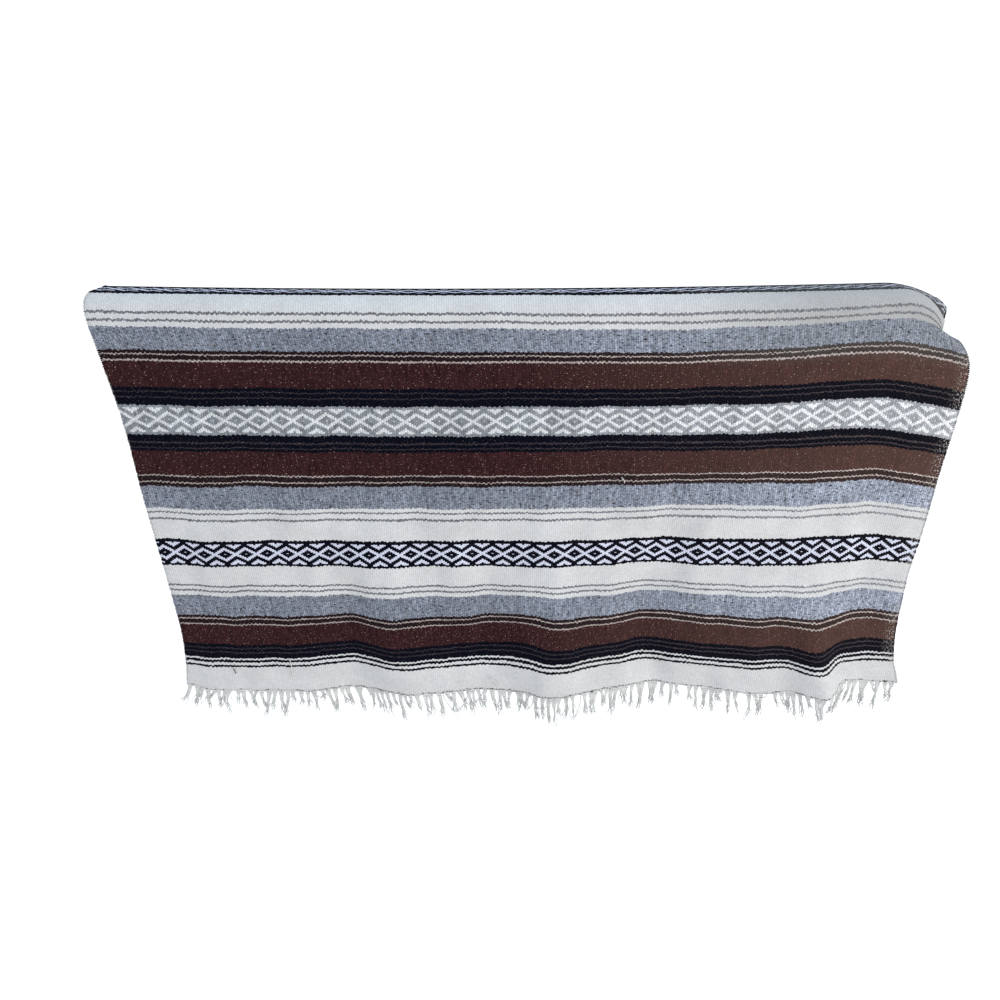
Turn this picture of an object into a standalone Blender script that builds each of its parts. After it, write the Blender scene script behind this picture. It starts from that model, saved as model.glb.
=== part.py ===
"""Mexican serape: one striped woven web with fringed ends, hanging over a plain wooden rail.

Metres, +Z up, front towards -Y. The origin is the middle of the rail's underside, where the
rail is held. Places on the web are given as
    place  along the weft, from the left selvage to the right one
    run    along the warp, from the middle of the web: positive down the front, negative down
           the back
"""
import math
from collections import namedtuple

import bmesh
import bpy
from mathutils import Vector

# The web, as it left the loom
WEB_WIDTH = 1.27
CREST_PITCH = 0.2255           # from the middle band, on the rail, to the grey figured band
BAND_PITCH = 0.2315            # from the grey figured band to the lower dark one
HEM_REACH = 0.288              # from the lower dark figured band to the hem
WEB_HALF = CREST_PITCH + BAND_PITCH + HEM_REACH
WEB_WALL = 0.0028
WEB_LEAN = 0.024               # sideways creep of the warp for each metre of run
FRINGE_REACH = 0.075
FRINGE_WALL = 0.004
SEAM_GAP = 0.0003

# The rail under the fold
RAIL_DEPTH = 0.094
RAIL_HEIGHT = 0.060            # at the lowest point of its hollowed top
RAIL_CORNER = 0.024            # radius of the two upper edges
RAIL_LEFT = -0.016             # place of its left end, just inside the selvage at the top
RAIL_RIGHT = 1.165             # place of its right end: the web overhangs it from here
RAIL_HOLLOW_RADIUS = 27.0      # its top sags along this large circle
RAIL_LOW_PLACE = 0.47
RAIL_GAP = 0.0005              # between the rail and the web that lies on it

# The line that the middle of the wall follows over the rail
FLAT_HALF = RAIL_DEPTH / 2 - RAIL_CORNER
BEND_RADIUS = RAIL_CORNER + RAIL_GAP + WEB_WALL / 2
BEND_RUN = BEND_RADIUS * math.pi / 2
CREST = RAIL_HEIGHT + RAIL_GAP + WEB_WALL / 2

# Mesh steps
BEND_STEPS = 4
OVERHANG_STEPS = 5
SUPPORTED_STEPS = 34
SHOULDER_RUNS = (0.092, 0.130, 0.175)   # rows close under the bend, where the end sags
PANEL_STEPS = 10
RAIL_STEPS = 12

# A fold swells from where it starts to where it is full, and drifts sideways on its way to the
# hem. Depth is outwards, so a trough is negative; left and right are the reach of its flanks.
Fold = namedtuple("Fold", "place hem_place left right depth starts full")
FRONT_FOLDS = (
    Fold(0.13, 0.11, 0.060, 0.060, 0.004, 0.30, 0.45),
    Fold(0.30, 0.300, 0.040, 0.035, -0.016, 0.44, 0.75),
    Fold(0.36, 0.405, 0.040, 0.040, 0.014, 0.34, 0.62),
    Fold(0.55, 0.535, 0.040, 0.040, -0.006, 0.42, 0.56),
    Fold(0.67, 0.658, 0.045, 0.050, 0.027, 0.40, 0.74),
    Fold(0.82, 0.840, 0.060, 0.065, -0.019, 0.33, 0.56),
    Fold(1.01, 1.010, 0.060, 0.065, 0.014, 0.28, 0.68),
    Fold(1.09, 1.132, 0.045, 0.032, 0.038, 0.42, 0.70),
    Fold(1.18, 1.215, 0.045, 0.080, -0.012, 0.24, 0.42),
    Fold(1.21, 1.230, 0.050, 0.060, 0.008, 0.60, 0.72),
)
BACK_FOLDS = (
    Fold(0.05, 0.03, 0.045, 0.045, 0.010, 0.30, 0.60),
    Fold(0.17, 0.15, 0.055, 0.050, -0.014, 0.36, 0.66),
    Fold(0.30, 0.27, 0.055, 0.040, 0.022, 0.30, 0.70),
    Fold(0.45, 0.44, 0.060, 0.060, -0.011, 0.40, 0.62),
    Fold(0.60, 0.62, 0.045, 0.060, 0.018, 0.34, 0.74),
    Fold(0.73, 0.76, 0.055, 0.050, -0.015, 0.32, 0.64),
    Fold(0.88, 0.91, 0.060, 0.055, 0.020, 0.38, 0.70),
    Fold(1.05, 1.04, 0.050, 0.050, -0.012, 0.42, 0.70),
    Fold(1.16, 1.18, 0.045, 0.040, 0.024, 0.34, 0.66),
)

# The selvages aren't straight: how far each one stands outside its even line.
Selvage = namedtuple("Selvage", "run left_out right_out")
SELVAGES = (
    Selvage(0.000, 0.020, 0.000),
    Selvage(0.070, 0.023, 0.004),
    Selvage(0.130, 0.016, 0.007),
    Selvage(0.200, 0.009, 0.005),
    Selvage(0.300, 0.004, 0.000),
    Selvage(0.420, 0.002, -0.004),
    Selvage(0.500, -0.002, -0.010),
    Selvage(0.610, -0.004, -0.011),
    Selvage(0.680, 0.001, -0.003),
    Selvage(WEB_HALF, 0.009, 0.014),
)

# Past the rail's right end the web is unsupported. At the right selvage it is drawn in towards
# the rail and sinks by these amounts, which ease off to nothing at the rail's end.
Sag = namedtuple("Sag", "run drawn_in sinks")
OVERHANG_SAG = (
    Sag(-WEB_HALF, 0.000, 0.000),
    Sag(-0.460, 0.000, 0.008),
    Sag(-0.200, 0.002, 0.014),
    Sag(-0.110, 0.012, 0.016),
    Sag(-0.066, 0.038, 0.020),
    Sag(-0.030, 0.026, 0.029),
    Sag(0.000, 0.022, 0.034),
    Sag(0.030, 0.040, 0.035),
    Sag(0.066, 0.052, 0.023),
    Sag(0.092, 0.024, 0.018),
    Sag(0.130, 0.005, 0.014),
    Sag(0.200, 0.002, 0.014),
    Sag(0.350, 0.000, 0.013),
    Sag(0.460, 0.000, 0.009),
    Sag(0.560, 0.000, 0.005),
    Sag(WEB_HALF, 0.000, 0.000),
)
SAG_POWER = 1.6                # how late the overhang gives way

# The front was tugged up a little just before the rail's end.
TUG_PLACE = 1.11
TUG_SPREAD = 0.075
TUG_LIFT = 0.006
TUG_RUNS = (0.06, 0.10, 0.24, 0.40)   # begins, full, full until, gone

WOOL = (0.62, 0.63, 0.65)
FRINGE_YARN = (0.70, 0.70, 0.69)
PINE = (0.55, 0.38, 0.22)


def ease(value):
    """Go smoothly from 0 to 1 while the value does, and stay level outside."""
    value = min(max(value, 0.0), 1.0)
    return value * value * (3 - 2 * value)


def over_rail(run):
    """Return how far out from the rail's centre line and how far down the web is at a run."""
    if run <= FLAT_HALF:
        return run, 0.0
    angle = (run - FLAT_HALF) / BEND_RADIUS
    if angle < math.pi / 2:
        return FLAT_HALF + BEND_RADIUS * math.sin(angle), BEND_RADIUS * (1 - math.cos(angle))
    return FLAT_HALF + BEND_RADIUS, BEND_RADIUS + run - FLAT_HALF - BEND_RUN


def rail_rise(place):
    """Return how far the rail's hollowed top stands above its lowest point."""
    return (place - RAIL_LOW_PLACE) ** 2 / (2 * RAIL_HOLLOW_RADIUS)


def fold_depth(folds, place, run):
    """Add up what each fold pushes the web outwards at this spot."""
    depth = 0.0
    for fold in folds:
        drift = min(max((run - fold.starts) / (WEB_HALF - fold.starts), 0.0), 1.0)
        aside = place - fold.place - (fold.hem_place - fold.place) * drift
        swell = ease((run - fold.starts) / (fold.full - fold.starts))
        flank = fold.right if aside > 0 else fold.left
        depth += fold.depth * swell * math.exp(-((aside / flank) ** 2))
    return depth


def between_rows(table, run):
    """Read every column but the first of a table at a run, on a smooth curve through its rows."""
    last = len(table) - 1
    run = min(max(run, table[0].run), table[last].run)
    upper = max(index for index in range(last) if table[index].run <= run)
    width = table[upper + 1].run - table[upper].run
    share = (run - table[upper].run) / width

    def slope(index, column):
        if index in (0, last):
            return 0.0
        before, after = table[index - 1], table[index + 1]
        return (after[column] - before[column]) / (after.run - before.run)

    values = []
    for column in range(1, len(table[0])):
        start, end = table[upper][column], table[upper + 1][column]
        bulge = ((1 - share) * slope(upper, column) - share * slope(upper + 1, column)) * width
        values.append(start + (end - start) * ease(share) + share * (1 - share) * bulge)
    return values


def tug(place, run):
    """Return how far the front was tugged up at this spot."""
    begins, full, full_until, gone = TUG_RUNS
    along = ease((run - begins) / (full - begins)) * ease((gone - run) / (gone - full_until))
    return TUG_LIFT * along * math.exp(-(((place - TUG_PLACE) / TUG_SPREAD) ** 2))


def drape(place, run):
    """Return the middle of the hanging web's wall at a place and run."""
    side = 1 if run >= 0 else -1
    length = abs(run)
    out, drop = over_rail(length)
    out += fold_depth(FRONT_FOLDS if side > 0 else BACK_FOLDS, place, length)
    left_out, right_out = between_rows(SELVAGES, length)
    drawn_in, sinks = between_rows(OVERHANG_SAG, run)
    give = (max(place - RAIL_RIGHT, 0.0) / (WEB_WIDTH - RAIL_RIGHT)) ** SAG_POWER
    across = place / WEB_WIDTH
    x = place - WEB_WIDTH / 2 + WEB_LEAN * run - drawn_in * give
    x += right_out * across - left_out * (1 - across)
    z = CREST + rail_rise(min(place, RAIL_RIGHT)) - drop - sinks * give + tug(place, run)
    return Vector((x, -side * out, z))


def evenly(start, end, steps):
    """List the values from start to end in equal steps, both ends with it."""
    return [start + (end - start) * step / steps for step in range(steps + 1)]


def web_places():
    """List the columns: even over the rail, closer together where the web overhangs it."""
    return (evenly(0.0, RAIL_RIGHT, SUPPORTED_STEPS)
            + evenly(RAIL_RIGHT, WEB_WIDTH, OVERHANG_STEPS)[1:])


def web_runs():
    """List the rows of the whole web, from the back hem over the rail to the front hem."""
    half = evenly(FLAT_HALF, FLAT_HALF + BEND_RUN, BEND_STEPS)
    half += list(SHOULDER_RUNS)
    half += evenly(SHOULDER_RUNS[-1], WEB_HALF, PANEL_STEPS)[1:]
    return [-run for run in reversed(half)] + [0.0] + half


def fringe_runs(side):
    """List the two rows of a fringe, a seam's gap past the hem and at its tips."""
    rows = [WEB_HALF + SEAM_GAP, WEB_HALF + SEAM_GAP + FRINGE_REACH]
    return rows if side > 0 else [-run for run in reversed(rows)]


def make_material(name, colour, roughness):
    """Make a plain dielectric Principled material."""
    material = bpy.data.materials.new(name)
    material.use_nodes = True
    shader = material.node_tree.nodes["Principled BSDF"]
    shader.inputs["Base Color"].default_value = (*colour, 1)
    shader.inputs["Roughness"].default_value = roughness
    shader.inputs["Metallic"].default_value = 0.0
    return material


def draped_sheet(name, runs, wall, material, collection):
    """Build a wall of even thickness on the draped grid of the web's columns and these rows."""
    shape = bmesh.new()
    rows = [[shape.verts.new(drape(place, run)) for place in web_places()] for run in runs]
    for upper, lower in zip(rows, rows[1:]):
        for left in range(len(upper) - 1):
            shape.faces.new((upper[left], upper[left + 1], lower[left + 1], lower[left]))
    bmesh.ops.recalc_face_normals(shape, faces=shape.faces[:])
    mesh = bpy.data.meshes.new(name)
    shape.to_mesh(mesh)
    shape.free()
    mesh.shade_smooth()
    mesh.materials.append(material)
    sheet = bpy.data.objects.new(name, mesh)
    collection.objects.link(sheet)
    solid = sheet.modifiers.new("wall", "SOLIDIFY")
    solid.thickness = wall
    solid.offset = 0.0
    solid.use_even_offset = True
    return sheet


def build_rail(material, collection):
    """Build the rail: a bar with a hollowed top and two rounded upper edges."""
    length = RAIL_RIGHT - RAIL_LEFT
    bpy.ops.mesh.primitive_cube_add(size=1)
    rail = bpy.context.object
    rail.name = rail.data.name = "rail"
    for owner in rail.users_collection:
        owner.objects.unlink(rail)
    collection.objects.link(rail)

    shape = bmesh.new()
    shape.from_mesh(rail.data)
    middle = Vector(((RAIL_LEFT + RAIL_RIGHT - WEB_WIDTH) / 2, 0, RAIL_HEIGHT / 2))
    bmesh.ops.scale(shape, vec=(length, RAIL_DEPTH, RAIL_HEIGHT), verts=shape.verts)
    bmesh.ops.translate(shape, vec=middle, verts=shape.verts)
    for x in evenly(middle.x - length / 2, middle.x + length / 2, RAIL_STEPS)[1:-1]:
        everything = shape.verts[:] + shape.edges[:] + shape.faces[:]
        bmesh.ops.bisect_plane(shape, geom=everything, plane_co=(x, 0, 0), plane_no=(1, 0, 0))
    rounded = shape.edges.layers.float.new("bevel_weight_edge")
    for edge in shape.edges:
        first, second = edge.verts
        along = abs(first.co.y - second.co.y) < RAIL_GAP and abs(first.co.x - second.co.x) > RAIL_GAP
        if along and min(first.co.z, second.co.z) > RAIL_HEIGHT / 2:
            edge[rounded] = 1.0
    for vert in shape.verts:
        if vert.co.z > RAIL_HEIGHT / 2:
            vert.co.z += rail_rise(vert.co.x + WEB_WIDTH / 2)
    shape.to_mesh(rail.data)
    shape.free()

    bevel = rail.modifiers.new("rounded upper edges", "BEVEL")
    bevel.limit_method = "WEIGHT"
    bevel.width = RAIL_CORNER
    bevel.segments = BEND_STEPS
    rail.data.materials.append(material)
    return rail


def main():
    for old in list(bpy.data.objects):
        bpy.data.objects.remove(old)
    collection = bpy.data.collections.new("serape_on_rail")
    bpy.context.scene.collection.children.link(collection)

    wool = make_material("woven_cotton_mix", WOOL, 0.92)
    yarn = make_material("fringe_yarn", FRINGE_YARN, 0.90)
    pine = make_material("pine", PINE, 0.60)

    draped_sheet("serape_cloth", web_runs(), WEB_WALL, wool, collection)
    draped_sheet("fringe_front", fringe_runs(1), FRINGE_WALL, yarn, collection)
    draped_sheet("fringe_back", fringe_runs(-1), FRINGE_WALL, yarn, collection)
    build_rail(pine, collection)


main()
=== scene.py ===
"""Mexican serape over a plain wooden rail: the woven web, its fringes, selvages and hem, the rail's
finish, and a plain studio around them.

Metres, +Z up, front towards -Y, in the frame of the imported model. Places on the web are given as
    place  along the weft, from the left selvage to the right one
    run    along the warp, from the middle of the web: positive down the front, negative down
           the back
"""
import math
import random
from collections import namedtuple

import bpy
import numpy as np
from bpy.props import FloatProperty, FloatVectorProperty, IntProperty, PointerProperty
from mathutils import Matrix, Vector


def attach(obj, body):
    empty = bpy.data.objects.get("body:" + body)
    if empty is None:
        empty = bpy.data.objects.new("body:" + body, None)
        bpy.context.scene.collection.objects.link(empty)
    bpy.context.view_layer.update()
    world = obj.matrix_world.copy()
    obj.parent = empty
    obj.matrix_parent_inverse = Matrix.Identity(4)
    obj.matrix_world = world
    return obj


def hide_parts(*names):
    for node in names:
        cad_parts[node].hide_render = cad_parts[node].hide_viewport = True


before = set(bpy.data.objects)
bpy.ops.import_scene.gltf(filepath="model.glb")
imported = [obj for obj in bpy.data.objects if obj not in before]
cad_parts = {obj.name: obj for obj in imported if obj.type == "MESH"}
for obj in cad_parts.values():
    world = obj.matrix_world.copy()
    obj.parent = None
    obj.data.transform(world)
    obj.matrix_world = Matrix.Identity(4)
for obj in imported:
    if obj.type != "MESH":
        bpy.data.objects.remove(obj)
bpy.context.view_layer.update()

bl_info = {
    "name": "Serape over a rail",
    "version": (1, 0, 0),
    "blender": (4, 5, 0),
    "location": "3D View > Sidebar > Serape",
    "description": "Builds a striped, fringed serape draped over a wooden rail",
    "category": "Object",
}

MM = 0.001

# The web, as it left the loom
WEB_WIDTH = 1.27
WEB_HALF = 0.745               # from its middle, on the rail, to a hem
WEB_WALL = 0.0028
WEB_LEAN = 0.024               # sideways creep of the warp for each metre of run
FRINGE_REACH = 0.075

# The rail under the fold
RAIL_DEPTH = 0.094
RAIL_HEIGHT = 0.060
RAIL_CORNER = 0.024
RAIL_RIGHT = 1.165
RAIL_HOLLOW_RADIUS = 27.0
RAIL_LOW_PLACE = 0.47
RAIL_GAP = 0.0005

# The line that the middle of the wall follows over the rail
FLAT_HALF = RAIL_DEPTH / 2 - RAIL_CORNER
BEND_RADIUS = RAIL_CORNER + RAIL_GAP + WEB_WALL / 2
BEND_RUN = BEND_RADIUS * math.pi / 2
CREST = RAIL_HEIGHT + RAIL_GAP + WEB_WALL / 2

# A fold swells from where it starts to where it is full, and drifts sideways on its way to the
# hem. Depth is outwards, so a trough is negative; left and right are the reach of its flanks.
Fold = namedtuple("Fold", "place hem_place left right depth starts full")
FRONT_FOLDS = (
    Fold(0.13, 0.11, 0.060, 0.060, 0.004, 0.30, 0.45),
    Fold(0.30, 0.300, 0.040, 0.035, -0.016, 0.44, 0.75),
    Fold(0.36, 0.405, 0.040, 0.040, 0.014, 0.34, 0.62),
    Fold(0.55, 0.535, 0.040, 0.040, -0.006, 0.42, 0.56),
    Fold(0.67, 0.658, 0.045, 0.050, 0.027, 0.40, 0.74),
    Fold(0.82, 0.840, 0.060, 0.065, -0.019, 0.33, 0.56),
    Fold(1.01, 1.010, 0.060, 0.065, 0.014, 0.28, 0.68),
    Fold(1.09, 1.132, 0.045, 0.032, 0.038, 0.42, 0.70),
    Fold(1.18, 1.215, 0.045, 0.080, -0.012, 0.24, 0.42),
    Fold(1.21, 1.230, 0.050, 0.060, 0.008, 0.60, 0.72),
)
BACK_FOLDS = (
    Fold(0.05, 0.03, 0.045, 0.045, 0.010, 0.30, 0.60),
    Fold(0.17, 0.15, 0.055, 0.050, -0.014, 0.36, 0.66),
    Fold(0.30, 0.27, 0.055, 0.040, 0.022, 0.30, 0.70),
    Fold(0.45, 0.44, 0.060, 0.060, -0.011, 0.40, 0.62),
    Fold(0.60, 0.62, 0.045, 0.060, 0.018, 0.34, 0.74),
    Fold(0.73, 0.76, 0.055, 0.050, -0.015, 0.32, 0.64),
    Fold(0.88, 0.91, 0.060, 0.055, 0.020, 0.38, 0.70),
    Fold(1.05, 1.04, 0.050, 0.050, -0.012, 0.42, 0.70),
    Fold(1.16, 1.18, 0.045, 0.040, 0.024, 0.34, 0.66),
)

# The selvages aren't straight: how far each one stands outside its even line.
Selvage = namedtuple("Selvage", "run left_out right_out")
SELVAGES = (
    Selvage(0.000, 0.020, 0.000),
    Selvage(0.070, 0.023, 0.004),
    Selvage(0.130, 0.016, 0.007),
    Selvage(0.200, 0.009, 0.005),
    Selvage(0.300, 0.004, 0.000),
    Selvage(0.420, 0.002, -0.004),
    Selvage(0.500, -0.002, -0.010),
    Selvage(0.610, -0.004, -0.011),
    Selvage(0.680, 0.001, -0.003),
    Selvage(WEB_HALF, 0.009, 0.014),
)

# Past the rail's right end the web is unsupported. At the right selvage it is drawn in towards
# the rail and sinks by these amounts, which ease off to nothing at the rail's end.
Sag = namedtuple("Sag", "run drawn_in sinks")
OVERHANG_SAG = (
    Sag(-WEB_HALF, 0.000, 0.000),
    Sag(-0.460, 0.000, 0.008),
    Sag(-0.200, 0.002, 0.014),
    Sag(-0.110, 0.012, 0.016),
    Sag(-0.066, 0.038, 0.020),
    Sag(-0.030, 0.026, 0.022),
    Sag(0.000, 0.022, 0.032),
    Sag(0.030, 0.040, 0.043),
    Sag(0.066, 0.052, 0.029),
    Sag(0.092, 0.024, 0.018),
    Sag(0.130, 0.005, 0.014),
    Sag(0.200, 0.002, 0.014),
    Sag(0.350, 0.000, 0.013),
    Sag(0.460, 0.000, 0.009),
    Sag(0.560, 0.000, 0.005),
    Sag(WEB_HALF, 0.000, 0.000),
)
SAG_POWER = 1.6                # how late the overhang gives way

# The front was tugged up a little just before the rail's end.
TUG_PLACE = 1.11
TUG_SPREAD = 0.075
TUG_LIFT = 0.006
TUG_RUNS = (0.06, 0.10, 0.24, 0.40)   # begins, full, full until, gone

# The hem was never cut quite straight: how much shorter the warp is at these places.
Trim = namedtuple("Trim", "place short")
HEM_TRIMS = (
    Trim(0.000, 0.010),
    Trim(0.045, 0.003),
    Trim(0.250, 0.000),
    Trim(0.640, 0.001),
    Trim(0.830, 0.005),
    Trim(0.950, 0.002),
    Trim(1.120, 0.003),
    Trim(1.165, 0.016),
    Trim(1.215, 0.010),
    Trim(WEB_WIDTH, 0.009),
)
TRIM_STARTS = 0.700            # the run from which the warp is taken up towards the hem

# Small ripples left by folding and storage: how many waves a metre each way, and their depth
Ripple = namedtuple("Ripple", "across along turned depth")
RIPPLES = (
    Ripple(7.3, 1.1, 0.4, 0.0015),
    Ripple(12.1, -2.3, 2.1, 0.0011),
    Ripple(3.7, 4.9, 4.0, 0.0011),
    Ripple(21.7, 3.1, 1.3, 0.0006),
)
RIPPLE_RUNS = (0.075, 0.22)    # none over the rail, full down the panels

# Weave
DIAMONDS = 37                  # across the web
DIAMOND_RIBS = 10
RIB = WEB_WIDTH / (DIAMONDS * DIAMOND_RIBS)
ROW = 0.0022                   # one row of the figured bands, two picks of weft
PICK = ROW / 2

# How many picks each stripe has, down the web from its middle. The first table leads to the
# middle of the grey figured band, the second to that of the lower dark one, the third to the hem.
Stripe = namedtuple("Stripe", "yarn picks")
TO_GREY = (
    Stripe("white", 53), Stripe("line", 3), Stripe("white", 7), Stripe("line", 3),
    Stripe("white", 7), Stripe("melange", 31), Stripe("dark", 5), Stripe("tan", 2),
    Stripe("dark", 6), Stripe("tan", 2), Stripe("brown", 37), Stripe("black", 5),
    Stripe("plum", 2), Stripe("black", 6), Stripe("plum", 2), Stripe("black", 32),
)
TO_DARK = (
    Stripe("black", 32), Stripe("plum", 2), Stripe("black", 6), Stripe("plum", 2),
    Stripe("black", 4), Stripe("brown", 36), Stripe("tan", 2), Stripe("dark", 8),
    Stripe("tan", 2), Stripe("dark", 6), Stripe("melange", 35), Stripe("white", 6),
    Stripe("line", 3), Stripe("white", 8), Stripe("line", 3), Stripe("white", 57),
)
TO_HEM = (
    Stripe("white", 55), Stripe("line", 3), Stripe("white", 6), Stripe("line", 3),
    Stripe("white", 7), Stripe("melange", 37), Stripe("dark", 6), Stripe("tan", 2),
    Stripe("dark", 8), Stripe("tan", 2), Stripe("brown", 37), Stripe("black", 6),
    Stripe("plum", 2), Stripe("black", 6), Stripe("plum", 2), Stripe("black", 11),
    Stripe("white", 3), Stripe("black", 5), Stripe("white", 5), Stripe("black", 4),
    Stripe("white", 53),
)


def picks_in(stripes):
    """Count the picks of some stripes."""
    return sum(stripe.picks for stripe in stripes)


# The figured bands: the pick of each one's middle, its picks above and below that, its first and
# last figured rows, its two yarns, and by how many ribs its diamonds stand to the right
Band = namedtuple("Band", "middle above below first_row last_row ground raised aside")
BANDS = (
    Band(0, 26, 26, -6.5, 6.5, "black", "figure_white", 2),
    Band(picks_in(TO_GREY), 21, 22, -8.5, 9, "figure_grey", "figure_pale", 0),
    Band(picks_in(TO_GREY + TO_DARK), 23, 22, -8.5, 9, "black", "figure_white", 2),
)
# A diamond is charted in rings, the ribs and rows away from its middle added up. These are
# raised: the dot, the lattice, and the hearts between the diamonds.
Raised = namedtuple("Raised", "first last")
RINGS = (Raised(0, 0), Raised(4, 6), Raised(10, 12.5))
HEART_RING = 8.0               # from this ring outwards only hearts are raised,
HEART_RIB = 1.5                # and none of them this near the middle of a diamond
RING_LIMIT = 20.0              # more than any diamond has
NEAR = 0.25                    # keeps counted rings and rows off the edge of a comparison

# How far the weft strays from level: in slow bows, by the beat in the figures and, on top of
# that, in the stripes, and from one rib to the next
SLOW_BOW = 0.0050
FIGURE_BEAT = 0.0018
STRIPE_BEAT = 0.0044
RIB_STEP = 0.0008
BEAD_POWER = 0.6               # the lower, the flatter the beads of weft

# Handling has drawn the weft out of line here and there: how far down, and how far that spreads
Bow = namedtuple("Bow", "place run down across along")
BOWS = (
    Bow(0.80, 0.09, 0.0035, 0.160, 0.070),
    Bow(1.20, 0.07, -0.0055, 0.120, 0.045),
    Bow(0.10, 0.36, 0.0040, 0.100, 0.060),
    Bow(0.85, 0.36, -0.0040, 0.120, 0.060),
    Bow(0.61, 0.62, -0.0070, 0.035, 0.070),
    Bow(1.15, 0.61, 0.0080, 0.030, 0.045),
    Bow(0.35, -0.12, -0.0035, 0.140, 0.070),
    Bow(0.95, -0.34, 0.0040, 0.120, 0.070),
    Bow(0.25, -0.60, 0.0060, 0.045, 0.060),
)

# Tints that lie over the yarns' own colours
# Painted warm light on the right of the mixed yarns
RIGHT_LIGHT_TINT = (0.20, 0.15, 0.10)
# Painted shade on the right end of the fold over the rail
CREST_SHADE_TINT = (0.10, 0.105, 0.10)
SOOT = (0.014, 0.015, 0.024)
PALE_FIBRE = (0.52, 0.48, 0.46)
BLUE_FIBRE = (0.40, 0.50, 0.66)
TAN_FIBRE = (0.44, 0.33, 0.26)
BARE_WARP = (0.47, 0.45, 0.43)
TURN_WARP = (0.40, 0.37, 0.36)

# The rail's wood
PITH_DROP = 0.085              # how far below the rail's underside the tree's pith lay
YEAR_RING = 0.0085


def ease(value):
    """Go smoothly from 0 to 1 while the value does, and stay level outside."""
    value = min(max(value, 0.0), 1.0)
    return value * value * (3 - 2 * value)


def over_rail(run):
    """Return how far out from the rail's centre line and how far down the web is at a run."""
    if run <= FLAT_HALF:
        return run, 0.0
    angle = (run - FLAT_HALF) / BEND_RADIUS
    if angle < math.pi / 2:
        return FLAT_HALF + BEND_RADIUS * math.sin(angle), BEND_RADIUS * (1 - math.cos(angle))
    return FLAT_HALF + BEND_RADIUS, BEND_RADIUS + run - FLAT_HALF - BEND_RUN


def rail_rise(place):
    """Return how far the rail's hollowed top stands above its lowest point."""
    return (place - RAIL_LOW_PLACE) ** 2 / (2 * RAIL_HOLLOW_RADIUS)


def fold_depth(folds, place, run):
    """Add up what each fold pushes the web outwards at this spot."""
    depth = 0.0
    for fold in folds:
        drift = min(max((run - fold.starts) / (WEB_HALF - fold.starts), 0.0), 1.0)
        aside = place - fold.place - (fold.hem_place - fold.place) * drift
        swell = ease((run - fold.starts) / (fold.full - fold.starts))
        flank = fold.right if aside > 0 else fold.left
        depth += fold.depth * swell * math.exp(-((aside / flank) ** 2))
    return depth


def between_rows(table, where):
    """Read a table, whose first column says where, on a smooth curve through its rows."""
    last = len(table) - 1
    where = min(max(where, table[0][0]), table[last][0])
    upper = max(index for index in range(last) if table[index][0] <= where)
    width = table[upper + 1][0] - table[upper][0]
    share = (where - table[upper][0]) / width

    def slope(index, column):
        if index in (0, last):
            return 0.0
        before, after = table[index - 1], table[index + 1]
        return (after[column] - before[column]) / (after[0] - before[0])

    values = []
    for column in range(1, len(table[0])):
        start, end = table[upper][column], table[upper + 1][column]
        bulge = ((1 - share) * slope(upper, column) - share * slope(upper + 1, column)) * width
        values.append(start + (end - start) * ease(share) + share * (1 - share) * bulge)
    return values


def tug(place, run):
    """Return how far the front was tugged up at this spot."""
    begins, full, full_until, gone = TUG_RUNS
    along = ease((run - begins) / (full - begins)) * ease((gone - run) / (gone - full_until))
    return TUG_LIFT * along * math.exp(-(((place - TUG_PLACE) / TUG_SPREAD) ** 2))


def ripple(place, run):
    """Return the small uneven swell of handled cloth, which the rail presses flat."""
    begins, full = RIPPLE_RUNS
    swell = ease((abs(run) - begins) / (full - begins))
    waves = (row.depth * math.sin(math.tau * (row.across * place + row.along * run) + row.turned)
             for row in RIPPLES)
    return swell * sum(waves)


def drape(place, run):
    """Return the middle of the hanging web's wall at a place and run."""
    side = 1 if run >= 0 else -1
    length = abs(run)
    out, drop = over_rail(length)
    out += fold_depth(FRONT_FOLDS if side > 0 else BACK_FOLDS, place, length)
    out += ripple(place, run)
    left_out, right_out = between_rows(SELVAGES, length)
    drawn_in, sinks = between_rows(OVERHANG_SAG, run)
    give = (max(place - RAIL_RIGHT, 0.0) / (WEB_WIDTH - RAIL_RIGHT)) ** SAG_POWER
    across = place / WEB_WIDTH
    x = place - WEB_WIDTH / 2 + WEB_LEAN * run - drawn_in * give
    x += right_out * across - left_out * (1 - across)
    z = CREST + rail_rise(min(place, RAIL_RIGHT)) - drop - sinks * give + tug(place, run)
    return Vector((x, -side * out, z))


def take_up(place, run):
    """Shorten a run near the hem by what the warp is short there."""
    short = between_rows(HEM_TRIMS, min(max(place, 0.0), WEB_WIDTH))[0]
    below = max(abs(run) - TRIM_STARTS, 0.0)
    return math.copysign(abs(run) - short * min(below / (WEB_HALF - TRIM_STARTS), 1.0), run)


def hem_run(place):
    """Return the run of the hem at this place."""
    return take_up(place, WEB_HALF)


def woven_run(place, run):
    """Return the run that the stripes at this spot belong to."""
    return run - sum(bow.down * math.exp(-((place - bow.place) / bow.across) ** 2
                                         - ((run - bow.run) / bow.along) ** 2) for bow in BOWS)


def evenly(start, end, steps):
    """List the values from start to end in equal steps, both ends with it."""
    return [start + (end - start) * step / steps for step in range(steps + 1)]


def web_places(steps):
    """List the web's columns, one step closer to each selvage for a rounded edge."""
    inner = evenly(RIB / 2, WEB_WIDTH - RIB / 2, steps)
    return [0.0] + inner + [WEB_WIDTH]


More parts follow.
